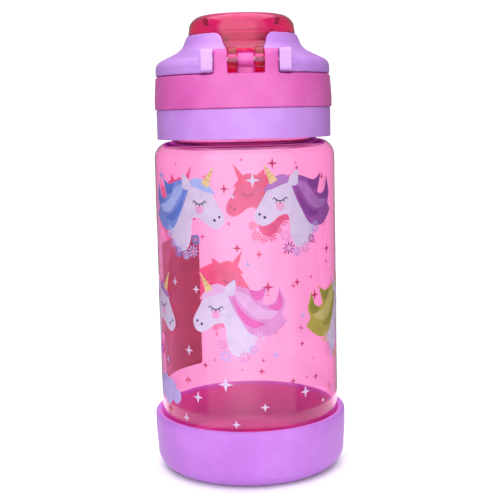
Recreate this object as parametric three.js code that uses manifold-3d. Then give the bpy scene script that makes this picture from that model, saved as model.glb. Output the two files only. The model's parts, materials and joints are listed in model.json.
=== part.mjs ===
// A kids' water bottle: a clear bottle standing in a soft boot, closed by a screw lid.
// The lid carries a drinking spout, a flip-up cover with a clear window, and a rocker
// latch that holds the cover shut.
//
// Millimetres, +Z up. The origin is the centre of the boot's underside, on the bottle's
// axis. The cover's hinge is on the -Y side and its axis lies along X. The latch is on
// the +Y side.

import * as THREE from "three";
import { mergeVertices } from "three/addons/utils/BufferGeometryUtils.js";
import Module from "manifold-3d";

const wasm = await Module();
wasm.setup();

// ---- Driving dimensions -------------------------------------------------------------

const GAP = 0.3; // clearance between neighbouring pieces
const ROUND_STEPS = 40; // sides of the large round pieces
const SMALL_STEPS = 16; // sides of pins, knuckles and small bores

const BODY = {
  radius: 35.9,
  wall: 2.0,
  bottom: 2.8, // underside of the heel, above the boot's floor
  heelRadius: 5.7,
  pushUp: 1.2, // how far the middle of the base is raised
  shoulderRadius: 6.5,
  shoulderTop: 132.0,
  neckRadius: 28.5,
  neckTop: 149.7,
  rim: 0.6, // chamfer on the neck's mouth
};

const BOOT = {
  radius: 38.85,
  height: 23.2,
  floor: BODY.bottom - GAP,
  cornerRadius: 7.2,
  taper: 0.6, // how far the wall draws in above the bottom corner
  bulgeHeight: 4, // the widest point, below the lip
};

// One thread shape serves the bottle's neck and the lid's skirt.
const THREAD = {
  lead: 6.0,
  rootWidth: 2.6,
  crestWidth: 1.3,
  rootDepth: 0.4, // how far the ridge is sunk into its wall
  stepDegrees: 15,
  fadeDegrees: 45, // the ridge runs out into its wall over this angle
};
const NECK_THREAD = { crest: 30.0, start: 136.0, fromDegrees: 0, turns: 1.17 };
const SKIRT_THREAD = { crest: 29.0, start: 133.0, fromDegrees: 90, turns: 1.08 };

const SKIRT = {
  radius: 34.5,
  bottom: 132.9,
  top: 144.1,
  shell: 1.4, // thickness of the visible wall
  wall: 1.3, // thickness of the thread wall and of the sleeve above it
  threadWall: 30.5, // inner radius around the thread
  threadTop: 145.4,
  sleeveRadius: 30.4, // outer radius above the thread
  deckUnder: 151.6,
  deckTop: 153.2,
};

const COLLAR = {
  bottomRadius: 35.1,
  topRadius: 34.5,
  inner: 32.9,
  bottom: SKIRT.top + GAP,
  top: 157.0,
  deckUnder: 155.2,
};

// A wide spout that is drunk from directly.
const SPOUT = {
  shank: 12.0,
  barb: 0.7, // how far the snap bead under the deck stands out
  flange: 15.0,
  body: 11.5,
  bore: 8.5,
  top: 173.0,
};
const DECK_HOLE = SPOUT.shank + GAP;

// The soft plug rests on the spout's rim and fills the space up to the window.
const PLUG = { lip: 8.5, seat: 11.6, top: 13.3, depth: 1.3 };

const VENT = { y: 20.0, stem: 1.2, flap: 4.0, cap: 2.8 };

// The hinge is a stack of knuckles on one pin. Each half-width is measured from x = 0.
const HINGE = {
  y: -30.0,
  z: 162.0,
  pinRadius: 1.2,
  pinHalfLength: 16.2,
  lugHalf: 3.0,
  lugRadius: 2.4,
  clearFrom: 3.3,
  clearTo: 6.6,
  clearRadius: 4.6,
  earFrom: 6.9,
  earTo: 12.0,
  earRadius: 4.0,
  blockFrom: 12.3,
  blockTo: 16.5,
  blockRadius: 3.6,
  relief: 5.3, // radius cleared around the axis in the collar's deck
};

const COVER = {
  bottom: COLLAR.top + GAP,
  radius: 34.35,
  wall: 1.9,
  towerTop: 172.8,
  towerBore: 20.3,
};

// The clear window stands in the cover's tower and shows through a notch on the hinge side.
const WINDOW = {
  radius: 21.5,
  shoulder: COVER.towerTop + GAP,
  top: 180.8,
  wall: 1.6,
  spigotBottom: 168.6,
};
const NOTCH = { halfLow: 7.0, low: 166.5, halfHigh: 8.4, high: 169.6, halfTop: 11.4 };

const LATCH = {
  halfWidth: 7.8,
  pivotY: 32.0,
  pivotZ: 150.8,
  pinRadius: 0.8,
  pinHalfLength: 9.6,
  bottom: 146.1,
  pocketBottom: 145.2,
  earFrom: 5.6,
};
const CATCH = { halfWidth: 3.8, back: 30.0, tip: 33.0, bottom: 153.9, noseTop: 155.6 };

const COLOURS = {
  clearPink: 0xffa8dd,
  violet: 0xcf8cf2,
  hotPink: 0xf26fc8,
  spoutPink: 0xe05aa0,
  steel: 0xc8ccd2,
  silicone: 0xf4f1f4,
};

// ---- Solids from three.js geometries --------------------------------------------------

// A closed geometry as a solid that can be joined and cut.
function solidOf(geometry) {
  const bare = geometry.clone();
  bare.deleteAttribute("normal");
  bare.deleteAttribute("uv");
  const merged = mergeVertices(bare, 1e-4);
  const corners = merged.index.array;
  const kept = [];
  for (let i = 0; i < corners.length; i += 3) {
    const [a, b, c] = corners.slice(i, i + 3);
    if (a !== b && b !== c && c !== a) kept.push(a, b, c);
  }
  return new wasm.Manifold(
    new wasm.Mesh({
      numProp: 3,
      vertProperties: merged.attributes.position.array,
      triVerts: Uint32Array.from(kept),
    }),
  );
}

// A solid as a geometry that a mesh can show.
function geometryOf(solid) {
  const mesh = solid.getMesh();
  const geometry = new THREE.BufferGeometry();
  geometry.setAttribute("position", new THREE.BufferAttribute(mesh.vertProperties, 3));
  geometry.setIndex(new THREE.BufferAttribute(mesh.triVerts, 1));
  geometry.computeVertexNormals();
  return geometry;
}

const point = (r, z) => new THREE.Vector2(r, z);

// Points on an arc, in degrees from +r towards +z.
function arc(r, z, radius, fromDegrees, toDegrees, steps) {
  return Array.from({ length: steps + 1 }, (_, i) => {
    const angle = THREE.MathUtils.degToRad(
      THREE.MathUtils.lerp(fromDegrees, toDegrees, i / steps),
    );
    return point(r + radius * Math.cos(angle), z + radius * Math.sin(angle));
  });
}

// Points on a bend from one point to another, pulled towards a corner.
function bend(from, corner, to, steps) {
  return new THREE.QuadraticBezierCurve(from, corner, to).getPoints(steps);
}

// A solid of revolution about Z. The outline lists (radius, height) points anticlockwise.
// It starts and ends on the axis, or goes round a ring's section and is closed here.
function turned(outline, steps = ROUND_STEPS) {
  const points = [...outline];
  if (points[0].x > 0) points.push(points[0].clone());
  return solidOf(new THREE.LatheGeometry(points, steps).rotateX(Math.PI / 2));
}

function box(x0, x1, y0, y1, z0, z1) {
  const geometry = new THREE.BoxGeometry(x1 - x0, y1 - y0, z1 - z0);
  return solidOf(geometry.translate((x0 + x1) / 2, (y0 + y1) / 2, (z0 + z1) / 2));
}

// A rod along X.
function rodX(radius, x0, x1, y, z, steps = SMALL_STEPS) {
  const geometry = new THREE.CylinderGeometry(radius, radius, x1 - x0, steps);
  return solidOf(geometry.rotateZ(-Math.PI / 2).translate((x0 + x1) / 2, y, z));
}

// A rod along Z.
function rodZ(radius, x, y, z0, z1, steps = SMALL_STEPS) {
  const geometry = new THREE.CylinderGeometry(radius, radius, z1 - z0, steps);
  return solidOf(geometry.rotateX(Math.PI / 2).translate(x, y, (z0 + z1) / 2));
}

// A plate whose outline lies in the YZ plane, from x0 to x1.
function plateX(outline, x0, x1) {
  const options = { depth: x1 - x0, bevelEnabled: false, steps: 1 };
  const geometry = new THREE.ExtrudeGeometry(new THREE.Shape(outline), options);
  const turn = new THREE.Matrix4().makeBasis(
    new THREE.Vector3(0, 1, 0),
    new THREE.Vector3(0, 0, 1),
    new THREE.Vector3(1, 0, 0),
  );
  return solidOf(geometry.applyMatrix4(turn).translate(x0, 0, 0));
}

// A plate whose outline lies in the XZ plane, from y0 towards -Y for the given depth.
function plateY(outline, y0, depth) {
  const options = { depth, bevelEnabled: false, steps: 1 };
  const geometry = new THREE.ExtrudeGeometry(new THREE.Shape(outline), options);
  return solidOf(geometry.rotateX(Math.PI / 2).translate(0, y0, 0));
}

// The same piece on the +X and the -X side.
function bothSides(make) {
  return make(1).add(make(-1));
}

// A span from near to far on the +X side, or its mirror on the -X side, low value first.
const span = (side, near, far) => (side > 0 ? [near, far] : [-far, -near]);

// A screw ridge: a bar wrapped onto a right-handed helix about Z. Its crest may face out
// or in, and the ridge sinks into its wall at both ends.
function screwRidge({ wall, crest, start, fromDegrees, turns }) {
  const { lead, rootWidth, crestWidth, rootDepth, stepDegrees, fadeDegrees } = THREAD;
  const sweep = turns * 360;
  const steps = Math.round(sweep / stepDegrees);
  const outward = Math.sign(crest - wall);
  const root = wall - outward * rootDepth;
  const sunk = wall - (outward * rootDepth) / 2;
  const geometry = new THREE.BoxGeometry(1, 1, 1, 1, steps, 1);
  const position = geometry.getAttribute("position");
  for (let i = 0; i < position.count; i += 1) {
    const along = (position.getY(i) + 0.5) * sweep;
    const height = Math.min(1, along / fadeDegrees, (sweep - along) / fadeDegrees);
    const atCrest = position.getX(i) * outward > 0;
    const radius = atCrest ? THREE.MathUtils.lerp(sunk, crest, height) : root;
    const width = atCrest ? crestWidth : rootWidth;
    const degrees = fromDegrees + along;
    const angle = THREE.MathUtils.degToRad(degrees);
    const z = start + (lead * degrees) / 360 + position.getZ(i) * width;
    position.setXYZ(i, radius * Math.cos(angle), radius * Math.sin(angle), z);
  }
  return solidOf(geometry);
}

// ---- The pieces -----------------------------------------------------------------------

function bottleBody() {
  const inner = BODY.radius - BODY.wall;
  const heelCentre = BODY.radius - BODY.heelRadius;
  const heelZ = BODY.bottom + BODY.heelRadius;
  const shoulderCentre = BODY.radius - BODY.shoulderRadius;
  const shoulderZ = BODY.shoulderTop - BODY.shoulderRadius;
  const pushUpRadius = 22;
  const neckInner = BODY.neckRadius - BODY.wall;
  const { rim } = BODY;
  const outside = [
    point(0, BODY.bottom + BODY.pushUp),
    point(pushUpRadius, BODY.bottom + BODY.pushUp),
    point(pushUpRadius + 3, BODY.bottom),
    ...arc(heelCentre, heelZ, BODY.heelRadius, -90, 0, 4),
    ...arc(shoulderCentre, shoulderZ, BODY.shoulderRadius, 0, 90, 5),
    point(BODY.neckRadius, BODY.shoulderTop),
    point(BODY.neckRadius, BODY.neckTop - rim),
    point(BODY.neckRadius - rim, BODY.neckTop),
  ];
  const inside = [
    point(neckInner + rim, BODY.neckTop),
    point(neckInner, BODY.neckTop - rim),
    point(neckInner, BODY.shoulderTop - BODY.wall + 1),
    ...arc(shoulderCentre, shoulderZ, BODY.shoulderRadius - BODY.wall, 80, 0, 3),
    ...arc(heelCentre, heelZ, BODY.heelRadius - BODY.wall, 0, -90, 3),
    point(pushUpRadius + 2, BODY.bottom + BODY.wall),
    point(pushUpRadius - 1, BODY.bottom + BODY.wall + BODY.pushUp),
    point(0, BODY.bottom + BODY.wall + BODY.pushUp),
  ];
  const thread = screwRidge({ wall: BODY.neckRadius, ...NECK_THREAD });
  return turned([...outside, ...inside]).add(thread);
}

function baseBoot() {
  const inner = BODY.radius + GAP;
  const corner = BOOT.cornerRadius;
  const lip = (BOOT.radius - inner) / 2;
  const heelRadius = BODY.heelRadius + GAP;
  return turned([
    point(0, 0),
    ...arc(BOOT.radius - BOOT.taper - corner, corner, corner, -90, 0, 5),
    point(BOOT.radius, BOOT.height - BOOT.bulgeHeight),
    ...arc(BOOT.radius - lip, BOOT.height - lip, lip, 0, 180, 5),
    ...arc(inner - heelRadius, BOOT.floor + heelRadius, heelRadius, 0, -90, 4),
    point(0, BOOT.floor),
  ]);
}

function neckGasket() {
  const inner = BODY.neckRadius - BODY.wall - 0.2;
  const outer = BODY.neckRadius + 0.3;
  const bottom = BODY.neckTop + GAP;
  const top = SKIRT.deckUnder - GAP;
  const edge = 0.3;
  return turned([
    point(inner, bottom),
    point(outer, bottom),
    point(outer, top - edge),
    point(outer - edge, top),
    point(inner + edge, top),
    point(inner, top - edge),
  ]);
}

// The skirt is a double wall: a thread wall inside, and the visible wall outside.
function lidSkirt() {
  const edge = 0.4;
  const grooveTop = SKIRT.top - 1.7;
  const spigotTop = LATCH.pocketBottom;
  const spigot = COLLAR.inner - GAP;
  const sleeveInner = SKIRT.sleeveRadius - SKIRT.wall;
  const threadOuter = SKIRT.threadWall + SKIRT.wall;
  const shellInner = SKIRT.radius - SKIRT.shell;
  const ring = turned([
    point(SKIRT.threadWall, SKIRT.bottom + edge),
    point(threadOuter, SKIRT.bottom + edge),
    point(threadOuter, grooveTop),
    point(shellInner, grooveTop),
    point(shellInner, SKIRT.bottom + edge),
    point(SKIRT.radius - SKIRT.shell / 2, SKIRT.bottom),
    point(SKIRT.radius - edge, SKIRT.bottom + 0.1),
    point(SKIRT.radius, SKIRT.bottom + 0.6),
    point(SKIRT.radius, SKIRT.top - edge),
    point(SKIRT.radius - edge, SKIRT.top),
    point(spigot, SKIRT.top),
    point(spigot, spigotTop),
    point(SKIRT.sleeveRadius, spigotTop + 1.2),
    point(SKIRT.sleeveRadius, SKIRT.deckTop),
    point(DECK_HOLE, SKIRT.deckTop),
    point(DECK_HOLE, SKIRT.deckUnder),
    point(sleeveInner, SKIRT.deckUnder),
    point(sleeveInner, SKIRT.threadTop + SKIRT.shell),
    point(SKIRT.threadWall, SKIRT.threadTop),
  ]);
  const thread = screwRidge({ wall: SKIRT.threadWall, ...SKIRT_THREAD });
  const vent = rodZ(VENT.stem + GAP, 0, VENT.y, SKIRT.deckUnder - 1, SKIRT.deckTop + 1);
  return ring.add(thread).subtract(vent);
}

// A knuckle that rises from the lid's deck: round on top, straight down to a foot.
function knuckle(radius, x0, x1, foot) {
  const { y, z } = HINGE;
  return plateX(
    [
      point(y - radius, foot),
      point(y + radius, foot),
      ...arc(y, z, radius, 0, 180, 8),
    ],
    x0,
    x1,
  );
}

function lidCollar() {
  const edge = 0.5;
  let collar = turned([
    point(DECK_HOLE, COLLAR.deckUnder),
    point(COLLAR.inner, COLLAR.deckUnder),
    point(COLLAR.inner, COLLAR.bottom + 0.3),
    point(COLLAR.inner + 0.3, COLLAR.bottom),
    point(COLLAR.bottomRadius - edge, COLLAR.bottom),
    point(COLLAR.bottomRadius, COLLAR.bottom + edge),
    ...bend(
      point(COLLAR.bottomRadius, 149),
      point(COLLAR.topRadius + 0.2, 153),
      point(COLLAR.topRadius, COLLAR.top - edge),
      3,
    ),
    point(COLLAR.topRadius - edge, COLLAR.top),
    point(DECK_HOLE, COLLAR.top),
  ]);

  // Room for the cover's rim and knuckles to turn.
  const reliefHalf = HINGE.blockTo + 0.7;
  collar = collar.subtract(rodX(HINGE.relief, -reliefHalf, reliefHalf, HINGE.y, HINGE.z, 32));

  // The ears are flush with the collar's wall, and the middle lug stands behind it.
  const foot = COLLAR.deckUnder + 0.4;
  const ears = bothSides((side) => {
    const [x0, x1] = span(side, HINGE.earFrom, HINGE.earTo);
    return knuckle(HINGE.earRadius, x0, x1, foot);
  });
  const wall = turned([
    point(0, foot - 1),
    point(COLLAR.topRadius - 0.1, foot - 1),
    point(COLLAR.topRadius - 0.1, HINGE.z + 6),
    point(0, HINGE.z + 6),
  ]);
  const lug = rodX(HINGE.lugRadius, -HINGE.lugHalf, HINGE.lugHalf, HINGE.y, HINGE.z);
  const stem = box(
    -HINGE.lugHalf,
    HINGE.lugHalf,
    HINGE.y + 0.8,
    HINGE.y + 4.2,
    foot,
    HINGE.z + 1,
  );
  const bore = rodX(HINGE.pinRadius + GAP, -20, 20, HINGE.y, HINGE.z);
  collar = collar.add(ears.intersect(wall)).add(lug).add(stem).subtract(bore);

  // The latch's pocket, its pin's cheeks, and the slot for the cover's catch.
  const pocketHalf = LATCH.halfWidth + 0.4;
  const pocket = box(-pocketHalf, pocketHalf, 31, 40, LATCH.pocketBottom, 160);
  const slotHalf = CATCH.halfWidth + 0.4;
  const slot = box(-slotHalf, slotHalf, CATCH.back - 0.4, 35, COLLAR.deckUnder - 1, 160);
  const cheeks = bothSides((side) => {
    const [x0, x1] = span(side, pocketHalf, pocketHalf + 2.2);
    return box(x0, x1, LATCH.pivotY - 1.1, 33.1, LATCH.pivotZ - 1.8, LATCH.pivotZ + 1.8);
  });
  const pinEnd = LATCH.pinHalfLength + 0.2;
  const pinBore = rodX(LATCH.pinRadius + 0.25, -pinEnd, pinEnd, LATCH.pivotY, LATCH.pivotZ);
  collar = collar.subtract(pocket).subtract(slot).add(cheeks).subtract(pinBore);

  return collar.subtract(
    rodZ(VENT.stem + GAP, 0, VENT.y, COLLAR.deckUnder - 1, COLLAR.top + 1),
  );
}

function drinkingSpout() {
  const { shank, barb, flange, body, bore, top } = SPOUT;
  const base = COLLAR.top + GAP;
  const below = SKIRT.deckUnder - GAP;
  const foot = below - 0.9;
  const funnel = bore + 1.7;
  return turned([
    point(funnel, foot),
    point(shank, foot),
    point(shank + barb, below - 0.5),
    point(shank + barb, below - 0.1),
    point(shank, below),
    point(shank, base),
    point(flange, base),
    point(flange, base + 0.9),
    point(flange - 0.5, base + 1.3),
    ...bend(point(flange - 1.6, base + 1.6), point(body + 0.5, base + 2.6), point(body, base + 6), 3),
    point(body - 0.3, top - 3.5),
    point(body + 0.1, top - 1.2),
    point(body - 0.6, top),
    point(bore + 0.5, top),
    point(bore, top - 0.6),
    point(bore, base + 2.4),
    point(funnel, base - 1),
  ]);
}

function spoutSeal() {
  const section = 0.7;
  const z = (SKIRT.deckTop + COLLAR.deckUnder) / 2;
  return solidOf(
    new THREE.TorusGeometry(DECK_HOLE + section + 0.1, section, 6, 32).translate(0, 0, z),
  );
}

function ventValve() {
  const flapTop = SKIRT.deckUnder - GAP;
  const capUnder = COLLAR.top + GAP;
  return turned(
    [
      point(0, flapTop - 1.0),
      point(VENT.flap, flapTop - 0.6),
      point(VENT.flap, flapTop),
      point(VENT.stem, flapTop),
      point(VENT.stem, capUnder),
      point(VENT.cap, capUnder),
      point(VENT.cap - 0.2, capUnder + 0.7),
      point(0, capUnder + 1.1),
    ],
    SMALL_STEPS,
  ).translate([0, VENT.y, 0]);
}

// The cover's outer surface: a low rim, a sloping top and a tower that leans slightly in.
function coverOutside(top) {
  return [
    point(COVER.radius - 0.25, COVER.bottom),
    point(COVER.radius, COVER.bottom + 1),
    ...bend(point(COVER.radius, 160.4), point(34.0, 162.4), point(32.2, 163.3), 3),
    ...bend(point(26.6, 166.0), point(23.5, 167.6), point(22.7, 170.4), 4),
    point(21.6, top),
  ];
}

// A shell of revolution behind that surface, with its own bore and height.
function coverShell(bore, top) {
  return turned([
    ...coverOutside(top),
    point(bore, top),
    point(bore, 169.2),
    ...bend(point(bore + 0.4, 167.6), point(22.0, 165.9), point(25.4, 164.5), 2),
    point(31.4, 161.6),
    point(COVER.radius - COVER.wall, 160.0),
    point(COVER.radius - COVER.wall, COVER.bottom),
  ]);
}

// The notch in the tower's hinge side, as a prism through the wall, smaller by an inset.
function notchPrism(inset, bottom, top) {
  const half = [
    point(NOTCH.halfLow - inset, bottom),
    point(NOTCH.halfLow - inset, NOTCH.low),
    ...bend(
      point(NOTCH.halfHigh - inset, NOTCH.high),
      point(NOTCH.halfHigh + 0.5 - inset, COVER.towerTop + inset),
      point(NOTCH.halfTop - inset, COVER.towerTop + inset),
      4,
    ),
    point(NOTCH.halfTop - inset, top),
  ];
  const mirrored = half.map((p) => point(-p.x, p.y)).reverse();
  return plateY([...half, ...mirrored], -14, 26);
}

function flipCover() {
  const { y, z, blockFrom, blockTo, blockRadius } = HINGE;
  const slotHalf = blockFrom;
  const slotTop = z + HINGE.earRadius + 0.4;
  let cover = coverShell(COVER.towerBore, COVER.towerTop);
  cover = cover.subtract(box(-slotHalf, slotHalf, y - 10, y + 5, z - 12, slotTop));
  cover = cover.subtract(notchPrism(0, slotTop - 1.5, COVER.towerTop + 2));

  // Knuckle blocks: round in front, running back into the sloping top.
  cover = cover.add(
    bothSides((side) => {
      const [x0, x1] = span(side, blockFrom, blockTo);
      const outline = [
        ...arc(y, z, blockRadius, 90, 270, 8),
        point(y + 4.4, z - blockRadius),
        point(y + 6.4, z + blockRadius),
      ];
      return plateX(outline, x0, x1);
    }),
  );
  cover = cover.subtract(rodX(HINGE.pinRadius + GAP, -20, 20, y, z));

  // The catch hangs inside the rim on the latch side, with its nose facing out.
  const { halfWidth, back, tip, bottom, noseTop } = CATCH;
  const rimInner = COVER.radius - COVER.wall;
  const catchOutline = [
    point(back, bottom),
    point(tip - 0.7, bottom),
    point(tip, bottom + 0.6),
    point(tip, noseTop),
    point(back + 1.6, noseTop),
    point(back + 1.6, COVER.bottom),
    point(rimInner + 0.4, COVER.bottom + 0.4),
    point(rimInner + 0.4, 160.0),
    point(back, 160.0),
  ];
  // A thumb lip on the rim, just above the latch.
  const lip = turned([
    point(COVER.radius - 1, COVER.bottom + 0.2),
    point(COVER.radius + 1.4, COVER.bottom + 0.4),
    point(COVER.radius + 1.8, COVER.bottom + 1.2),
    point(COVER.radius - 1, COVER.bottom + 3.4),
  ]).intersect(box(-8, 8, 20, 40, 150, 165));
  return cover.add(plateX(catchOutline, -halfWidth, halfWidth)).add(lip);
}

function coverWindow() {
  const { radius, shoulder, top, wall, spigotBottom } = WINDOW;
  const spigot = COVER.towerBore - GAP;
  const dome = turned([
    point(spigot - wall, spigotBottom),
    point(spigot, spigotBottom),
    point(spigot, shoulder),
    point(radius, shoulder),
    point(radius, shoulder + 0.9),
    ...bend(point(20.5, 176.6), point(18.9, 180.3), point(14.6, 180.6), 5),
    point(8, top),
    point(0, top),
    point(0, top - wall),
    point(8, top - wall),
    ...bend(point(14.2, top - wall - 0.2), point(17.8, 178.6), point(spigot - wall, 174), 3),
  ]);

  // The panel in the notch follows the cover's surface and carries the clear knuckles.
  const { y, z, clearFrom, clearTo, clearRadius } = HINGE;
  const panelBottom = z + 3.4;
  const panel = coverShell(spigot - wall + 0.2, shoulder + 0.6)
    .intersect(notchPrism(GAP, panelBottom, shoulder + 2))
    .subtract(box(-clearFrom, clearFrom, y - 6, y + 3, z - 8, z + 3.1));
  const knuckles = bothSides((side) => {
    const [x0, x1] = span(side, clearFrom, clearTo);
    return rodX(clearRadius, x0, x1, y, z);
  });
  const bore = rodX(HINGE.pinRadius + GAP, -20, 20, y, z);
  return dome.add(panel).add(knuckles).subtract(bore);
}

// A soft plug under the window that closes the spout. Its lip draws in towards the tip,
// so that it clears the spout's rim as the cover swings.
function coverPlug() {
  const ceiling = WINDOW.top - WINDOW.wall - GAP;
  const seat = SPOUT.top + GAP;
  return turned([
    point(0, seat - PLUG.depth),
    point(PLUG.lip - 0.8, seat - PLUG.depth),
    point(PLUG.lip, seat - 0.4),
    point(PLUG.lip, seat),
    point(PLUG.seat, seat),
    point(PLUG.seat, seat + 1.2),
    point(PLUG.top, ceiling - 0.8),
    point(PLUG.top - 0.4, ceiling),
    point(0, ceiling),
  ]);
}

function hingePin() {
  return rodX(HINGE.pinRadius, -HINGE.pinHalfLength, HINGE.pinHalfLength, HINGE.y, HINGE.z);
}

// The latch rocks on its pin: its foot is pressed in, and the ledge on top moves out.
function latchButton() {
  const { halfWidth, pivotY, pivotZ, bottom, earFrom, pinRadius } = LATCH;
  const ledgeUnder = CATCH.noseTop + 0.4;
  const top = COLLAR.top - 0.2;
  const plate = plateX(
    [
      point(33.5, bottom),
      point(35.6, bottom),
      point(36.1, bottom + 1.2),
      point(36.1, bottom + 3.6),
      point(35.6, pivotZ + 1.4),
      point(34.9, top),
      point(CATCH.tip - 0.6, top),
      point(CATCH.tip - 0.6, ledgeUnder),
      point(CATCH.tip + GAP, ledgeUnder),
      point(CATCH.tip + GAP, pivotZ - 2),
    ],
    -halfWidth,
    halfWidth,
  );
  const round = turned([
    point(0, bottom - 1),
    point(36, bottom - 1),
    point(36, top + 1),
    point(0, top + 1),
  ]);
  const ears = bothSides((side) => {
    const [x0, x1] = span(side, earFrom, halfWidth);
    return plateX(
      [
        point(pivotY, pivotZ - 1.7),
        point(33.6, pivotZ - 1.7),
        point(33.6, pivotZ + 1.7),
        ...arc(pivotY, pivotZ, 1.7, 90, 270, 6),
      ].slice(0, -1),
      x0,
      x1,
    );
  });
  const bore = rodX(pinRadius + 0.25, -halfWidth - 1, halfWidth + 1, pivotY, pivotZ);
  return plate.intersect(round).add(ears).subtract(bore);
}

function latchPin() {
  const { pinRadius, pinHalfLength, pivotY, pivotZ } = LATCH;
  return rodX(pinRadius, -pinHalfLength, pinHalfLength, pivotY, pivotZ, 12);
}

// A small compression coil between the lid's sleeve and the latch's foot.
function latchSpring() {
  const coil = { radius: 1.4, wire: 0.22, turns: 3, from: SKIRT.sleeveRadius + 0.55, length: 2.0 };
  class Helix extends THREE.Curve {
    getPoint(t, target = new THREE.Vector3()) {
      const angle = t * coil.turns * 2 * Math.PI;
      return target.set(
        coil.radius * Math.cos(angle),
        coil.from + t * coil.length,
        LATCH.bottom + 2 + coil.radius * Math.sin(angle),
      );
    }
  }
  const section = new THREE.Shape(arc(0, 0, coil.wire, 0, 360, 6).slice(0, -1));
  const path = new Helix();
  return solidOf(
    new THREE.ExtrudeGeometry(section, { steps: coil.turns * 12, extrudePath: path }),
  );
}

// ---- Assembly -------------------------------------------------------------------------

const plastic = { roughness: 0.35, metalness: 0 };
const clear = { roughness: 0.08, metalness: 0, transparent: true, opacity: 0.45 };
const soft = { roughness: 0.6, metalness: 0 };
const metal = { roughness: 0.3, metalness: 1 };

const PIECES = [
  ["bottle_body", bottleBody, COLOURS.clearPink, clear],
  ["base_boot", baseBoot, COLOURS.violet, soft],
  ["neck_gasket", neckGasket, COLOURS.silicone, soft],
  ["lid_skirt", lidSkirt, COLOURS.violet, plastic],
  ["lid_collar", lidCollar, COLOURS.hotPink, plastic],
  ["drinking_spout", drinkingSpout, COLOURS.spoutPink, plastic],
  ["spout_seal", spoutSeal, COLOURS.silicone, soft],
  ["vent_valve", ventValve, COLOURS.silicone, soft],
  ["flip_cover", flipCover, COLOURS.violet, plastic],
  ["cover_window", coverWindow, COLOURS.clearPink, clear],
  ["cover_plug", coverPlug, COLOURS.spoutPink, soft],
  ["hinge_pin", hingePin, COLOURS.steel, metal],
  ["latch_button", latchButton, COLOURS.violet, plastic],
  ["latch_pin", latchPin, COLOURS.steel, metal],
  ["latch_spring", latchSpring, COLOURS.steel, metal],
];

const group = new THREE.Group();
for (const [name, make, color, finish] of PIECES) {
  const material = new THREE.MeshStandardMaterial({ color, ...finish });
  const mesh = new THREE.Mesh(geometryOf(make()), material);
  mesh.name = name;
  group.add(mesh);
}

export default group;
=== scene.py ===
"""A kids' water bottle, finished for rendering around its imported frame.

Shapes are worked out in millimetres and turned into metres when a piece is finished.
"""
import json
import math
import random

import bmesh
import bpy
from mathutils import Matrix, Vector


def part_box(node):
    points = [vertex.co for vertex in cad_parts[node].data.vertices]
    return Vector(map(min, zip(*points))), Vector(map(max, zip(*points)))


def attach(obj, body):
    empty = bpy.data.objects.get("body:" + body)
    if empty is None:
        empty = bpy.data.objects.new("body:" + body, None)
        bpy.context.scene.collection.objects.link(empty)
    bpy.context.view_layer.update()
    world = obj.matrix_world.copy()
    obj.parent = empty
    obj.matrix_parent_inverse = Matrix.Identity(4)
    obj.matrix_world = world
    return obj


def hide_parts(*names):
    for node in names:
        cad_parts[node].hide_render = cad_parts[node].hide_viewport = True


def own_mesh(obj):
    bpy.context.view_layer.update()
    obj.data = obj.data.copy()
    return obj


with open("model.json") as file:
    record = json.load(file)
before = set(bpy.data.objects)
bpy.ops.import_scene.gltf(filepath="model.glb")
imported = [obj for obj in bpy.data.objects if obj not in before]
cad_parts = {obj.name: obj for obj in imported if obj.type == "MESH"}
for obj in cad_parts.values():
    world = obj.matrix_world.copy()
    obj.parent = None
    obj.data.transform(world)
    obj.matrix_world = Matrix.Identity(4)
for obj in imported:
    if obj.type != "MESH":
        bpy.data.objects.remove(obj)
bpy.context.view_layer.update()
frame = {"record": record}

# ---- Sizes, in millimetres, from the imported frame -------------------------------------

MM = 0.001
GAP = 0.3  # clearance between neighbouring pieces


def extent(node):
    """A CAD node's lowest and highest corners in millimetres."""
    low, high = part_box(node)
    return Vector(low) / MM, Vector(high) / MM


def joint_place(name):
    """Where a joint's axis passes, in millimetres."""
    joint = next(j for j in frame["record"]["behaviour"]["joints"] if j["name"] == name)
    return Vector(joint["pos_m"]) / MM


BODY_LOW, BODY_HIGH = extent("bottle_body")
BODY_RADIUS = BODY_HIGH.x
BODY_WALL = 1.3
NECK_WALL = 2.0
NECK_TOP = BODY_HIGH.z
NECK_RADIUS = extent("neck_gasket")[1].x - GAP
SHOULDER_TOP = extent("lid_skirt")[0].z - 0.9

BOOT_HIGH = extent("base_boot")[1]
SKIRT_LOW, SKIRT_HIGH = extent("lid_skirt")
COLLAR_LOW, COLLAR_HIGH = extent("lid_collar")
COLLAR_TOP = extent("vent_valve")[1].z - 1.4
SPOUT_LOW, SPOUT_HIGH = extent("drinking_spout")
COVER_LOW, COVER_HIGH = extent("flip_cover")
COVER_BOTTOM = COLLAR_TOP + GAP
WINDOW_HIGH = extent("cover_window")[1]
BUTTON_LOW, BUTTON_HIGH = extent("latch_button")
HINGE = joint_place("cover_flip")
LATCH = joint_place("latch_press")
PIN_RADIUS = 1.2

COLUMNS = 192  # sides of the large round pieces, and the columns that the prints follow
FRONT = math.radians(-90)  # where the hinge side lies, seen from above


# ---- Outlines ---------------------------------------------------------------------------

def arc(x, y, radius, start, end, steps=10):
    """Points on an arc about (x, y), in degrees."""
    angles = [math.radians(start + (end - start) * i / steps) for i in range(steps + 1)]
    return [(x + radius * math.cos(a), y + radius * math.sin(a)) for a in angles]


def bend(start, corner, end, steps=8):
    """Points on a curve from start to end, pulled towards a corner."""
    start, corner, end = Vector(start), Vector(corner), Vector(end)
    ts = [i / steps for i in range(steps + 1)]
    return [tuple(start * (1 - t) ** 2 + corner * 2 * t * (1 - t) + end * t * t) for t in ts]


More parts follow.
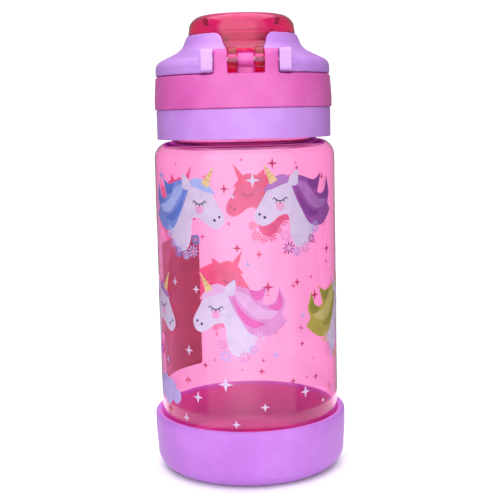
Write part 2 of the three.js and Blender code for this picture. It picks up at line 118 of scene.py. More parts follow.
def rounded(corners, steps=4):
    """A closed outline from (x, y, radius) corners, each rounded by its radius."""
    points = []
    for i, (x, y, radius) in enumerate(corners):
        here = Vector((x, y))
        if radius == 0:
            points.append((x, y))
            continue
        before = Vector(corners[i - 1][:2]) - here
        after = Vector(corners[(i + 1) % len(corners)][:2]) - here
        reach = radius / math.tan(before.angle(after) / 2)
        reach = min(reach, before.length * 0.49, after.length * 0.49)
        start = here + before.normalized() * reach
        end = here + after.normalized() * reach
        points += bend(start, here, end, steps)
    return points


def smooth_loop(knots, steps=6):
    """A closed curve through (x, y) knots. A knot with a third value is a sharp corner."""
    count = len(knots)
    places = [Vector(k[:2]) for k in knots]
    slopes = [
        Vector((0, 0)) if len(k) > 2 else (places[(i + 1) % count] - places[i - 1]) / 2
        for i, k in enumerate(knots)
    ]
    points = []
    for i in range(count):
        a, b = places[i], places[(i + 1) % count]
        for k in range(steps):
            t = k / steps
            points.append(
                a * (2 * t**3 - 3 * t**2 + 1)
                + slopes[i] * (t**3 - 2 * t**2 + t)
                + b * (3 * t**2 - 2 * t**3)
                + slopes[(i + 1) % count] * (t**3 - t**2)
            )
    return [tuple(p) for p in points]


# ---- Solids -----------------------------------------------------------------------------

def working_object(name, shape):
    """An object, still in millimetres, from a bmesh."""
    bmesh.ops.recalc_face_normals(shape, faces=shape.faces)
    data = bpy.data.meshes.new(name)
    shape.to_mesh(data)
    shape.free()
    thing = bpy.data.objects.new(name, data)
    bpy.context.scene.collection.objects.link(thing)
    return thing


def turned(name, outline, columns=COLUMNS, relief=None):
    """A closed surface of revolution about Z. relief(r, z, angle) may change a radius."""
    shape = bmesh.new()
    rings = []
    for r, z in outline:
        if r < 1e-6:
            rings.append([shape.verts.new((0, 0, z))])
            continue
        ring = []
        for i in range(columns):
            angle = 2 * math.pi * i / columns
            radius = relief(r, z, angle) if relief else r
            ring.append(shape.verts.new((radius * math.cos(angle), radius * math.sin(angle), z)))
        rings.append(ring)
    pairs = list(zip(rings, rings[1:]))
    if len(rings[0]) > 1:
        pairs.append((rings[-1], rings[0]))
    for low, high in pairs:
        for i in range(columns):
            j = (i + 1) % columns
            corners = [low[i % len(low)], low[j % len(low)], high[j % len(high)], high[i % len(high)]]
            corners = list(dict.fromkeys(corners))
            if len(corners) > 2:
                shape.faces.new(corners)
    return working_object(name, shape)


def plate(name, outline, low, high, place):
    """A prism. Its outline is (u, v) points, and place(u, v, depth) gives x, y, z."""
    shape = bmesh.new()
    ends = [[shape.verts.new(place(u, v, w)) for u, v in outline] for w in (low, high)]
    count = len(outline)
    for i in range(count):
        j = (i + 1) % count
        shape.faces.new((ends[0][i], ends[0][j], ends[1][j], ends[1][i]))
    shape.faces.new(ends[0])
    shape.faces.new(list(reversed(ends[1])))
    return working_object(name, shape)


def plate_x(outline, x0, x1, name="cutter"):
    """A plate whose (y, z) outline runs from x0 to x1."""
    return plate(name, outline, x0, x1, lambda u, v, w: (w, u, v))


def plate_y(outline, y0, y1, name="cutter"):
    """A plate whose (x, z) outline runs from y0 to y1."""
    return plate(name, outline, y0, y1, lambda u, v, w: (u, w, v))


def block(x0, x1, y0, y1, z0, z1, name="cutter"):
    return plate_x([(y0, z0), (y1, z0), (y1, z1), (y0, z1)], x0, x1, name)


def rod_x(radius, x0, x1, y, z, name="cutter", steps=48, edge=0):
    """A rod along X whose ends may have a small rounded edge."""
    rod = turned(name, [(0, x0), (radius - edge, x0), (radius, x0 + edge),
                        (radius, x1 - edge), (radius - edge, x1), (0, x1)], steps)
    rod.data.transform(Matrix.Translation((0, y, z)) @ Matrix.Rotation(math.radians(90), 4, "Y"))
    return rod


def both_sides(near, far):
    """The span from near to far on the +X side and its mirror on the -X side."""
    return (near, far), (-far, -near)


def settled(thing):
    """Applies an object's modifiers to its mesh."""
    graph = bpy.context.evaluated_depsgraph_get()
    data = bpy.data.meshes.new_from_object(thing.evaluated_get(graph))
    thing.modifiers.clear()
    thing.data = data
    return thing


def boolean(thing, others, operation):
    for other in others:
        change = thing.modifiers.new("change", "BOOLEAN")
        change.operation = operation
        change.solver = "EXACT"
        change.object = other
        settled(thing)
        bpy.data.objects.remove(other)
    return thing


def cut(thing, *cutters):
    return boolean(thing, cutters, "DIFFERENCE")


def join(thing, *additions):
    return boolean(thing, additions, "UNION")


def common(thing, *others):
    return boolean(thing, others, "INTERSECT")


def softened(thing, voxel, rounds):
    """Gives a cut solid the small rounded edges of a moulding."""
    remesh = thing.modifiers.new("remesh", "REMESH")
    remesh.mode = "VOXEL"
    remesh.voxel_size = voxel
    smooth = thing.modifiers.new("smooth", "SMOOTH")
    smooth.factor = 0.5
    smooth.iterations = rounds
    return settled(thing)


def finish_piece(piece, body, material, *nodes, sharp=None):
    """Turns a working shape into a finished piece that rides on a body."""
    piece.data.transform(Matrix.Scale(MM, 4))
    piece.data.shade_smooth()
    if sharp:
        piece.data.set_sharp_from_angle(angle=math.radians(sharp))
    piece.data.materials.clear()
    piece.data.materials.append(material)
    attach(piece, body)
    if nodes:
        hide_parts(*nodes)
    return piece


def second_material(piece, material, wanted):
    """Gives a finished piece's faces another material wherever wanted(face) holds."""
    piece.data.materials.append(material)
    for face in piece.data.polygons:
        face.material_index = 1 if wanted(face) else 0


# ---- Materials --------------------------------------------------------------------------

def linear(code):
    """A #RRGGBB colour as linear RGBA."""
    parts = [int(code[i:i + 2], 16) / 255 for i in (1, 3, 5)]
    return [p / 12.92 if p <= 0.04045 else ((p + 0.055) / 1.055) ** 2.4 for p in parts] + [1]


class Surface:
    """A node material that is built up a step at a time around one Principled shader."""

    def __init__(self, name, **uniform):
        self.material = bpy.data.materials.new(name)
        self.material.use_nodes = True
        self.nodes = self.material.node_tree.nodes
        self.links = self.material.node_tree.links
        self.shader = self.nodes["Principled BSDF"]
        for socket, value in uniform.items():
            self.shader.inputs[socket.replace("_", " ")].default_value = value
        self.place = self.nodes.new("ShaderNodeTexCoord").outputs["Object"]

    def link(self, source, target):
        self.links.new(source, target)

    def noise(self, scale, detail=2.0, roughness=0.5, stretch=(1, 1, 1)):
        """Noise whose grains are about 1 / scale metres."""
        spread = self.nodes.new("ShaderNodeMapping")
        spread.inputs["Scale"].default_value = stretch
        self.link(self.place, spread.inputs["Vector"])
        texture = self.nodes.new("ShaderNodeTexNoise")
        texture.inputs["Scale"].default_value = scale
        texture.inputs["Detail"].default_value = detail
        texture.inputs["Roughness"].default_value = roughness
        self.link(spread.outputs["Vector"], texture.inputs["Vector"])
        return texture.outputs["Fac"]

    def ramp(self, source, stops):
        """Colours at (position, colour) stops."""
        node = self.nodes.new("ShaderNodeValToRGB")
        band = node.color_ramp
        while len(band.elements) < len(stops):
            band.elements.new(0.5)
        for element, (position, colour) in zip(band.elements, stops):
            element.position = position
            element.color = colour
        self.link(source, node.inputs["Fac"])
        return node.outputs["Color"]

    def span(self, source, low, high, from_low=0.3, from_high=0.7):
        """Maps a value onto low to high."""
        node = self.nodes.new("ShaderNodeMapRange")
        node.inputs["From Min"].default_value = from_low
        node.inputs["From Max"].default_value = from_high
        node.inputs["To Min"].default_value = low
        node.inputs["To Max"].default_value = high
        self.link(source, node.inputs["Value"])
        return node.outputs["Result"]

    def blend(self, share, a, b, mode="MIX"):
        """Mixes two colours by a share. Either colour may be a value or a socket."""
        node = self.nodes.new("ShaderNodeMix")
        node.data_type = "RGBA"
        node.blend_type = mode
        for value, socket in ((share, node.inputs[0]), (a, node.inputs[6]), (b, node.inputs[7])):
            if isinstance(value, bpy.types.NodeSocket):
                self.link(value, socket)
            else:
                socket.default_value = value
        return node.outputs[2]

    def bumps(self, *layers):
        """Stacks bump layers, each a (height, strength, distance) triple."""
        below = None
        for height, strength, distance in layers:
            node = self.nodes.new("ShaderNodeBump")
            node.inputs["Strength"].default_value = strength
            node.inputs["Distance"].default_value = distance
            self.link(height, node.inputs["Height"])
            if below:
                self.link(below, node.inputs["Normal"])
            below = node.outputs["Normal"]
        self.link(below, self.shader.inputs["Normal"])

    def colour(self, source):
        self.link(source, self.shader.inputs["Base Color"])

    def roughness(self, source):
        self.link(source, self.shader.inputs["Roughness"])


def moulded_plastic(name, tone, deep_tone, pale_tone, base_roughness=0.36):
    """Satin moulded plastic: a fine spark-eroded grain, faint flow clouds, worn edges."""
    surface = Surface(name, IOR=1.5, Specular_IOR_Level=0.5)
    clouds = surface.noise(55, 3)
    colour = surface.ramp(clouds, [
        (0.3, linear(deep_tone)), (0.5, linear(tone)), (0.72, linear(pale_tone))])
    edges = surface.nodes.new("ShaderNodeNewGeometry").outputs["Pointiness"]
    worn = surface.span(edges, 0.0, 0.35, 0.53, 0.6)
    surface.colour(surface.blend(worn, colour, linear(pale_tone)))
    grain = surface.noise(2600, 2)
    scuffs = surface.noise(420, 4, 0.7, (1, 1, 0.3))
    surface.roughness(surface.span(scuffs, base_roughness - 0.05, base_roughness + 0.1, 0.35, 0.75))
    waves = surface.noise(90, 1)
    surface.bumps((waves, 0.12, 0.0006), (grain, 0.1, 0.00012))
    return surface.material


def soft_silicone(name, tone, deep_tone, pale_tone):
    """Matte silicone: powdery bloom, handled smudges and a fine moulded skin."""
    surface = Surface(name, IOR=1.42, Sheen_Weight=0.12, Sheen_Roughness=0.45,
                      Specular_IOR_Level=0.35)
    clouds = surface.noise(38, 4, 0.6)
    colour = surface.ramp(clouds, [
        (0.28, linear(deep_tone)), (0.52, linear(tone)), (0.78, linear(pale_tone))])
    smudges = surface.span(surface.noise(75, 5, 0.75, (1, 1, 1.6)), 0.0, 0.45, 0.6, 0.74)
    colour = surface.blend(smudges, colour, linear(deep_tone))
    specks = surface.span(surface.noise(900, 2), 0.0, 0.3, 0.68, 0.78)
    surface.colour(surface.blend(specks, colour, linear(pale_tone)))
    surface.roughness(surface.span(clouds, 0.48, 0.62))
    skin = surface.noise(1900, 3)
    waves = surface.noise(60, 2)
    surface.bumps((waves, 0.15, 0.0008), (skin, 0.12, 0.00015))
    return surface.material


def clear_plastic(name, taken_per_metre, roughness_low, roughness_high):
    """Tinted clear plastic. taken_per_metre is how fast red, green and blue are absorbed."""
    surface = Surface(name, IOR=1.53, Transmission_Weight=1.0)
    surface.shader.inputs["Base Color"].default_value = (1, 1, 1, 1)
    haze = surface.noise(160, 5, 0.7, (1, 1, 0.4))
    surface.roughness(surface.span(haze, roughness_low, roughness_high, 0.35, 0.8))
    flow = surface.noise(26, 1, 0.4, (1, 1, 0.35))
    surface.bumps((flow, 0.1, 0.0006))
    density = max(taken_per_metre) * 1.02
    depth = surface.nodes.new("ShaderNodeVolumeAbsorption")
    depth.inputs["Density"].default_value = density
    depth.inputs["Color"].default_value = [1 - t / density for t in taken_per_metre] + [1]
    surface.link(depth.outputs["Volume"], surface.nodes["Material Output"].inputs["Volume"])
    return surface.material


def printed_ink(name, tone, deep_tone):
    """Screen-printed ink: a slightly uneven film with a fine mesh grain."""
    surface = Surface(name, IOR=1.45, Specular_IOR_Level=0.4)
    patches = surface.noise(240, 3)
    surface.colour(surface.ramp(patches, [(0.3, linear(deep_tone)), (0.6, linear(tone))]))
    surface.roughness(surface.span(patches, 0.34, 0.5))
    surface.bumps((surface.noise(3200, 1), 0.08, 0.00005))
    return surface.material


def drawn_steel(name):
    """Wire drawn along its length: fine streaks in colour, gloss and relief."""
    surface = Surface(name, Metallic=1.0)
    streaks = surface.noise(1500, 3, 0.6, (0.08, 1, 1))
    surface.colour(surface.ramp(streaks, [(0.3, linear("#8F9298")), (0.7, linear("#D2D4D8"))]))
    surface.roughness(surface.span(streaks, 0.2, 0.38))
    surface.bumps((streaks, 0.15, 0.00004))
    return surface.material


VIOLET = moulded_plastic("violet_plastic", "#BB81D9", "#B376D2", "#C48EE0")
# A paler copy of the violet plastic for the hinge blocks: painted light, standing for their lit faces.
PAINTED_LIGHT_VIOLET = moulded_plastic("violet_plastic_painted_light", "#CC98E6", "#C590DF", "#D4A4EB")
PINK = moulded_plastic("pink_plastic", "#D158AD", "#C94EA4", "#DA68B8", 0.34)
SPOUT_PINK = moulded_plastic("spout_plastic", "#C964BE", "#BF5AB4", "#D474C9", 0.3)
BOOT = soft_silicone("violet_silicone", "#AE6CC9", "#A260BC", "#B97AD2")
# A pinker copy of the boot silicone for its hidden inside faces: painted light, standing for the reddened
# light they get through the bottle.
BOOT_INSIDE_PAINTED_LIGHT = soft_silicone("violet_silicone_inside_painted_light", "#CC5FB4", "#C055A8", "#D46CBC")
PLUG = soft_silicone("pink_silicone", "#CC6CC6", "#C261BC", "#D67AD0")
SEAL = soft_silicone("white_silicone", "#DCD8DE", "#CFC9D2", "#E8E5EA")
STEEL = drawn_steel("pin_steel")
CLEAR = clear_plastic("clear_body", (22, 410, 160), 0.01, 0.06)
WINDOW = clear_plastic("clear_window", (50, 520, 250), 0.02, 0.08)


# ---- Bottle and boot ----------------------------------------------------------------------

def screw_relief(wall, crest, z0, first_degrees, turns):
    """Changes a wall's radius along a right-handed thread ridge."""
    lead = 6.0
    half_crest, half_root = 0.65, 1.3

    def relief(r, z, angle):
        if abs(r - wall) > 0.01:
            return r
        degrees = math.degrees(angle) - first_degrees
        best = 0.0
        for turn in range(-2, 3):
            along = degrees + 360 * turn
            if not 0 <= along <= turns * 360:
                continue
            off = abs(z - (z0 + lead * (along + first_degrees) / 360))
            fade = min(1, along / 45, (turns * 360 - along) / 45)
            slope = min(1, max(0, (half_root - off) / (half_root - half_crest)))
            best = max(best, slope * slope * (3 - 2 * slope) * fade)
        return wall + (crest - wall) * best

    return relief


def bottle():
    """The clear bottle, with its push-up base, shoulder and threaded neck."""
    heel, shoulder = 5.7, 6.5
    heel_r, heel_z = BODY_RADIUS - heel, BODY_LOW.z + heel
    shoulder_r, shoulder_z = BODY_RADIUS - shoulder, SHOULDER_TOP - shoulder
    inner = NECK_RADIUS - NECK_WALL
    bottom, push_up = BODY_LOW.z, 1.2
    floor = bottom + 4.1
    thread_rows = [SHOULDER_TOP + 1.2 + 0.35 * i for i in range(45)]
    outline = [(0, bottom + push_up)]
    outline += bend((21, bottom + push_up), (23, bottom + push_up), (24, bottom + 0.5))
    outline += bend((24, bottom + 0.5), (24.5, bottom), (26, bottom), 4)
    outline += arc(heel_r, heel_z, heel, -90, 0, 14)
    outline += arc(shoulder_r, shoulder_z, shoulder, 0, 84, 16)
    outline += bend((29.6, SHOULDER_TOP), (28.6, SHOULDER_TOP), (NECK_RADIUS, SHOULDER_TOP + 0.9), 4)
    outline += [(NECK_RADIUS, z) for z in thread_rows]
    outline += bend((NECK_RADIUS, NECK_TOP - 0.6), (NECK_RADIUS, NECK_TOP), (28.0, NECK_TOP), 4)
    outline += bend((27.0, NECK_TOP), (inner, NECK_TOP), (inner, NECK_TOP - 0.6), 4)
    outline += bend((inner, SHOULDER_TOP - 0.4), (inner + 0.1, SHOULDER_TOP - 1.2),
                    (28.6, SHOULDER_TOP - 1.35), 5)
    outline += arc(shoulder_r, shoulder_z, shoulder - BODY_WALL, 84, 0, 14)
    outline += arc(heel_r, heel_z, heel - BODY_WALL, 0, -90, 12)
    outline += bend((25, bottom + 2), (23, bottom + 2.0), (22.4, bottom + 2.8), 5)
    outline += bend((22.2, bottom + 2.8), (21.6, floor), (19.0, floor), 5)
    outline += [(0, floor)]
    relief = screw_relief(NECK_RADIUS, 30.0, 136.0, 0, 1.17)
    return turned("clear_bottle", outline, relief=relief)


def boot():
    """The soft boot: a full heel, a slightly bulged wall and a rolled lip."""
    inner = BODY_RADIUS + GAP
    floor = BODY_LOW.z - GAP
    lip = (BOOT_HIGH.x - inner) / 2
    corner = 7.2
    heel_r, heel = BODY_RADIUS - 5.7, 6.0
    outline = [(0, 0)]
    outline += arc(BOOT_HIGH.x - 0.6 - corner, corner, corner, -90, -4, 16)
    outline += bend((BOOT_HIGH.x - 0.55, 9.0), (BOOT_HIGH.x, 14.0), (BOOT_HIGH.x, 19.2), 8)
    outline += arc(BOOT_HIGH.x - lip, BOOT_HIGH.z - lip, lip, 12, 180, 12)
    outline += arc(heel_r, floor + heel, heel, 0, -90, 12)
    outline += [(0, floor)]
    return turned("soft_boot", outline)


def neck_ring():
    low, high = extent("neck_gasket")
    inner = NECK_RADIUS - NECK_WALL - 0.2
    return turned("neck_ring", rounded([
        (inner, low.z, 0.3), (high.x, low.z, 0.3), (high.x, high.z, 0.35), (inner, high.z, 0.35)]), 128)


# ---- Lid ------------------------------------------------------------------------------------

SKIRT_TOP = COLLAR_LOW.z - 0.08
DECK_HOLE = 12.3
VENT_Y = extent("vent_valve")[0].y + 4.0


def vent_hole(low, high):
    """A cutter for the hole through the deck that the vent valve sits in."""
    hole = turned("cutter", [(0, low), (1.5, low), (1.5, high), (0, high)], 24)
    hole.data.transform(Matrix.Translation((0, VENT_Y, 0)))
    return hole


def lid_ring():
    """The violet skirt: a visible wall, a groove, and a threaded wall under the deck."""
    bottom, top, deck_top = SKIRT_LOW.z, SKIRT_TOP, SKIRT_HIGH.z
    wall, sleeve, spigot = 30.5, 30.4, 32.6
    thread_rows = [(wall, 144.8 - 0.35 * i) for i in range(33)]
    outline = rounded([
        (wall + 1.3, bottom + 0.4, 0.3), (wall + 1.3, top - 1.7, 0.4),
        (SKIRT_HIGH.x - 1.4, top - 1.7, 0.4), (SKIRT_HIGH.x - 1.4, bottom + 0.4, 0.2),
        (SKIRT_HIGH.x - 0.9, bottom, 0.3), (SKIRT_HIGH.x, bottom, 0.55),
        (SKIRT_HIGH.x, top, 0.4), (spigot, top, 0),
        (spigot, top + 1.1, 0.3), (sleeve, top + 2.3, 0.3),
        (sleeve, deck_top, 0.4), (DECK_HOLE, deck_top, 0.2),
        (DECK_HOLE, deck_top - 1.6, 0.2), (sleeve - 1.3, deck_top - 1.6, 0.5),
        (sleeve - 1.3, top + 2.7, 0.3), (wall, top + 1.3, 0.2),
    ], 5)
    outline += [row for row in thread_rows if row[1] > bottom + 0.6]
    outline += [(wall, bottom + 0.5)]
    relief = screw_relief(wall, 29.0, 133.0, 90, 1.08)
    ring = turned("lid_ring", outline, relief=relief)
    return cut(ring, vent_hole(deck_top - 3, deck_top + 1))


def lid_band():
    """The pink band: collar, deck, hinge ears and lug, latch pocket and cheeks."""
    low, top = COLLAR_LOW.z, COLLAR_TOP
    inner = 32.9
    band = turned("lid_band", rounded([
        (DECK_HOLE, top - 1.8, 0.2), (inner, top - 1.8, 0.6), (inner, low, 0.3),
        (COLLAR_HIGH.x, low, 0.5), (COLLAR_HIGH.x, 148.5, 6), (34.75, 153.5, 6),
        (34.5, top, 0.5), (DECK_HOLE, top, 0.25),
    ], 6))
    band = cut(band, rod_x(5.3, -17.2, 17.2, HINGE.y, HINGE.z, steps=96))
    ear, foot = 4.0, top - 1.4
    profile = [(HINGE.y - ear, foot), (HINGE.y + ear, foot)] + arc(HINGE.y, HINGE.z, ear, 0, 180, 24)
    for x0, x1 in both_sides(6.9, 12.0):
        wall = turned("wall", [(0, foot - 1), (34.4, foot - 1), (34.4, HINGE.z + 6), (0, HINGE.z + 6)])
        band = join(band, common(plate_x(profile, x0, x1, "ear"), wall))
    lug = rod_x(2.4, -3.0, 3.0, HINGE.y, HINGE.z, "lug")
    stem = block(-3.0, 3.0, HINGE.y + 0.8, HINGE.y + 4.2, foot, HINGE.z + 1)
    band = join(band, lug, stem)
    band = cut(band, rod_x(PIN_RADIUS + GAP, -20, 20, HINGE.y, HINGE.z))
    pocket = BUTTON_HIGH.x + 0.4
    band = cut(band, block(-pocket, pocket, 31, 40, BUTTON_LOW.z - 0.9, 160))
    band = cut(band, block(-4.2, 4.2, 29.6, 35, top - 2.8, 160))
    for x0, x1 in both_sides(pocket - 0.01, pocket + 2.2):
        band = join(band, block(x0, x1, LATCH.y - 1.1, 33.1, LATCH.z - 1.8, LATCH.z + 1.8))
    band = cut(band, rod_x(1.05, -9.8, 9.8, LATCH.y, LATCH.z))
    return softened(cut(band, vent_hole(top - 4, top + 1)), 0.25, 5)


def drinking_spout():
    """The wide spout: a shank through the deck, a flange and a rim that is drunk from."""
    base, below, tip = COLLAR_TOP + GAP, SPOUT_LOW.z + 0.9, SPOUT_HIGH.z
    flange, shank, body, bore = SPOUT_HIGH.x, DECK_HOLE - GAP, 11.5, 8.5
    funnel = bore + 1.7
    outline = [(funnel, below - 0.9)]
    outline += bend((shank - 0.2, below - 0.9), (shank + 0.7, below - 0.8), (shank + 0.7, below - 0.3), 4)
    outline += [(shank + 0.6, below - 0.05), (shank, below), (shank, base), (flange - 0.2, base)]
    outline += bend((flange, base + 0.2), (flange, base + 1.3), (flange - 0.8, base + 1.35), 6)
    outline += bend((flange - 1.6, base + 1.5), (body + 0.5, base + 2.2), (body, base + 6), 10)
    outline += bend((body - 0.1, base + 8), (body - 0.4, tip - 4.5), (body - 0.25, tip - 3.0), 6)
    outline += bend((body, tip - 1.8), (body + 0.2, tip), (body - 0.9, tip), 8)
    outline += bend((bore + 0.9, tip), (bore, tip), (bore, tip - 0.9), 6)
    outline += bend((bore, base + 2.4), (bore, base + 0.8), (funnel, base - 1), 6)
    return turned("wide_spout", outline, 128)


def spout_ring():
    low, high = extent("spout_seal")
    section = (high.z - low.z) / 2
    middle = (high.z + low.z) / 2
    return turned("spout_ring", arc(high.x - 0.7, middle, section, 0, 340, 17), 128)


def vent_cap():
    low, high = extent("vent_valve")
    deck, cap = SKIRT_HIGH.z - 1.9, COLLAR_TOP + GAP
    outline = [(0, low.z)] + bend((2.0, low.z), (4.0, low.z + 0.1), (4.0, deck), 6)
    outline += [(1.2, deck), (1.2, cap)] + bend((2.6, cap), (2.9, cap + 0.2), (2.6, cap + 0.6), 5)
    outline += bend((2.3, cap + 0.9), (1.4, high.z), (0, high.z), 6)
    valve = turned("vent_cap", outline, 48)
    valve.data.transform(Matrix.Translation((0, VENT_Y, 0)))
    return valve


# ---- Cover ----------------------------------------------------------------------------------

TOWER_TOP = COVER_HIGH.z
TOWER_BORE = 20.3
RIM = COVER_HIGH.x
KNUCKLE_SPAN = (12.3, 16.5)  # how far out the cover's hinge blocks run


def cover_shell(name, bore, top):
    """The cover's low rim, its sloping top and its tower, with a bore inside."""
    bottom = COVER_BOTTOM
    outline = [(RIM - 0.45, bottom)]
    outline += bend((RIM - 0.2, bottom + 0.1), (RIM, bottom + 0.3), (RIM, bottom + 1.2), 5)
    outline += bend((RIM, 160.4), (34.0, 162.4), (32.2, 163.3), 10)
    outline += bend((26.6, 166.0), (23.5, 167.6), (22.7, 170.4), 14)
    outline += [(21.6, top), (bore, top), (bore, 169.4)]
    outline += bend((bore, 169.2), (bore + 0.3, 167.0), (25.4, 164.5), 8)
    outline += bend((31.0, 161.8), (RIM - 1.9, 161.0), (RIM - 1.9, 159.4), 6)
    outline += [(RIM - 1.9, bottom)]
    return turned(name, outline)


def notch(inset, bottom, top):
    """The notch in the tower's hinge side, as a prism, made smaller by an inset."""
    half = [(7.0 - inset, bottom), (7.0 - inset, 166.5)]
    half += bend((8.1 - inset, 169.2), (8.5 - inset, TOWER_TOP + inset),
                 (11.4 - inset, TOWER_TOP + inset), 10)
    half += [(11.4 - inset, top)]
    return plate_y(half + [(-x, z) for x, z in reversed(half)], -40, -14)


def knuckle_block(x0, x1, growth=0.0):
    """A square hinge block beside an ear, with rounded front corners."""
    front, back, foot, top = HINGE.y - 3.7, HINGE.y + 3.5, HINGE.z - 4.3, HINGE.z + 4.0
    profile = rounded([(front - growth, foot - growth, 1.4), (back + growth, foot - growth, 0.4),
                       (back + growth, top + growth, 0.6), (front - growth, top + growth, 1.2)], 5)
    return cut(plate_x(profile, x0 - growth, x1 + growth, "knuckle_block"),
               rod_x(PIN_RADIUS + GAP, -20, 20, HINGE.y, HINGE.z))


def lid_cover():
    """The violet cover, with its catch, its thumb lip and room for its knuckle blocks."""
    slot_top = HINGE.z + 4.4
    cover = cover_shell("lid_cover", TOWER_BORE, TOWER_TOP)
    cover = cut(cover, block(-12.3, 12.3, HINGE.y - 10, HINGE.y + 5, HINGE.z - 12, slot_top))
    cover = cut(cover, notch(0, slot_top - 1.5, TOWER_TOP + 2))
    cover = cut(cover, rod_x(PIN_RADIUS + GAP, -20, 20, HINGE.y, HINGE.z))
    back, tip, bottom = 30.0, 33.0, COVER_LOW.z
    catch = [(back, bottom), (tip - 0.7, bottom), (tip, bottom + 0.6), (tip, bottom + 1.7),
             (back + 1.6, bottom + 1.7), (back + 1.6, COVER_BOTTOM), (RIM - 1.5, COVER_BOTTOM + 0.4),
             (RIM - 1.5, 160.0), (back, 160.0)]
    lip = turned("lip", rounded([
        (RIM - 1, COVER_BOTTOM + 0.2, 0), (RIM + 1.7, COVER_BOTTOM + 0.3, 0.5),
        (RIM + 1.9, COVER_BOTTOM + 1.4, 0.6), (RIM - 1, COVER_BOTTOM + 3.6, 0)]))
    lip = common(lip, block(-8, 8, 20, 40, 150, 165))
    cover = softened(join(cover, plate_x(catch, -3.8, 3.8, "catch"), lip), 0.25, 5)
    return cut(cover, *(knuckle_block(x0, x1, 0.02) for x0, x1 in both_sides(*KNUCKLE_SPAN)))


def cover_dome():
    """The clear window: a domed cap, the panel in the notch and its clear knuckles."""
    spigot, wall, top = TOWER_BORE - GAP, 1.6, WINDOW_HIGH.z
    shoulder, edge = TOWER_TOP + GAP, WINDOW_HIGH.x - 0.5
    thick = 3.0
    outline = [(spigot - thick, 168.6), (spigot, 168.6), (spigot, shoulder), (edge - 0.15, shoulder)]
    outline += bend((edge, shoulder + 0.15), (edge, shoulder + 0.6), (edge - 0.1, shoulder + 1.2), 3)
    outline += bend((20.5, 176.8), (19.1, 180.2), (14.6, 180.6), 16)
    outline += [(8, top), (0, top), (0, top - wall), (8, top - wall)]
    outline += bend((13.6, top - wall - 0.2), (16.6, 178.0), (spigot - thick, 174), 12)
    dome = turned("cover_dome", outline)
    radius, near, far = 4.6, 3.3, 6.6
    panel = cover_shell("panel", spigot + 0.1, shoulder + 0.6)
    panel = common(panel, notch(GAP, HINGE.z + 3.4, shoulder + 2))
    panel = cut(panel, block(-near, near, HINGE.y - 6, HINGE.y + 3, HINGE.z - 8, HINGE.z + 3.1))
    dome = join(dome, panel)
    for x0, x1 in both_sides(near, far):
        dome = join(dome, rod_x(radius, x0, x1, HINGE.y, HINGE.z, "knuckle", 64, 0.25))
    return cut(dome, rod_x(PIN_RADIUS + GAP, -20, 20, HINGE.y, HINGE.z))


def spout_plug():
    """The soft plug: a lip in the spout, a seat on its rim, and a flare up to the window."""
    low, high = extent("cover_plug")
    seat = SPOUT_HIGH.z + GAP
    lip, rim = 8.5, 11.6
    outline = [(0, low.z)] + bend((6.4, low.z), (lip, low.z), (lip, seat - 0.4), 6)
    outline += [(lip, seat), (rim - 0.3, seat)]
    outline += bend((rim, seat + 0.1), (rim + 0.2, seat + 1.6), (high.x - 0.4, high.z - 1.6), 8)
    outline += bend((high.x, high.z - 0.9), (high.x, high.z), (high.x - 1.0, high.z), 6)
    outline += [(0, high.z)]
    return turned("spout_plug", outline, 128)


# ---- Pins, latch and spring -------------------------------------------------------------------

def pin(name, node):
    low, high = extent(node)
    middle = (low + high) / 2
    return rod_x(high.z - middle.z, low.x, high.x, middle.y, middle.z, name, 48, 0.2)


def latch_rocker():
    """The rocker that is pressed at its foot, with three finger grooves."""
    low, high = BUTTON_LOW, BUTTON_HIGH
    ledge = COVER_LOW.z + 2.1
    nose = 32.4
    profile = [(33.5, low.z), (35.6, low.z), (36.1, low.z + 1.2), (36.1, low.z + 3.6),
               (35.6, LATCH.z + 1.4), (34.9, high.z), (nose, high.z), (nose, ledge),
               (33.3, ledge), (33.3, LATCH.z - 2)]
    rocker = plate_x(profile, low.x, high.x, "latch_rocker")
    barrel = [(0, low.z - 1), (36, low.z - 1), (36, high.z + 1), (0, high.z + 1)]
    rocker = common(rocker, turned("round", barrel))
    ears = [(LATCH.y, LATCH.z - 1.7), (33.6, LATCH.z - 1.7), (33.6, LATCH.z + 1.7)]
    ears += arc(LATCH.y, LATCH.z, 1.7, 90, 270, 12)[:-1]
    for x0, x1 in both_sides(5.6, high.x):
        rocker = join(rocker, plate_x(ears, x0, x1, "ear"))
    rocker = cut(rocker, rod_x(1.05, low.x - 1, high.x + 1, LATCH.y, LATCH.z))
    for i in range(3):
        rocker = cut(rocker, rod_x(0.45, -5, 5, 36.15, low.z + 1.4 + 1.3 * i, steps=16))
    return softened(rocker, 0.18, 4)


def latch_coil():
    """The latch's compression spring, whose end turns are closed."""
    low, high = extent("latch_spring")
    wire = 0.22
    radius = (high.x - low.x) / 2 - wire
    middle_z = (high.z + low.z) / 2
    turns, steps = 4.0, 96
    curve = bpy.data.curves.new("latch_coil", "CURVE")
    curve.dimensions = "3D"
    curve.bevel_depth = wire * MM
    curve.bevel_resolution = 3
    curve.use_fill_caps = True
    spline = curve.splines.new("POLY")
    spline.points.add(steps)
    for i, knot in enumerate(spline.points):
        t = i / steps
        closed = 0.5 - 0.5 * math.cos(math.pi * t)
        angle = 2 * math.pi * turns * t
        y = low.y + wire + (high.y - low.y - 2 * wire) * (0.5 * t + 0.5 * closed)
        spot = (radius * math.cos(angle), y, middle_z + radius * math.sin(angle))
        knot.co = [c * MM for c in spot] + [1]
    coil = bpy.data.objects.new("latch_coil", curve)
    bpy.context.scene.collection.objects.link(coil)
    graph = bpy.context.evaluated_depsgraph_get()
    data = bpy.data.meshes.new_from_object(coil.evaluated_get(graph))
    bpy.data.objects.remove(coil)
    coil = bpy.data.objects.new("latch_coil", data)
    bpy.context.scene.collection.objects.link(coil)
    data.transform(Matrix.Scale(1 / MM, 4))
    return coil


# ---- Prints on the bottle ---------------------------------------------------------------------

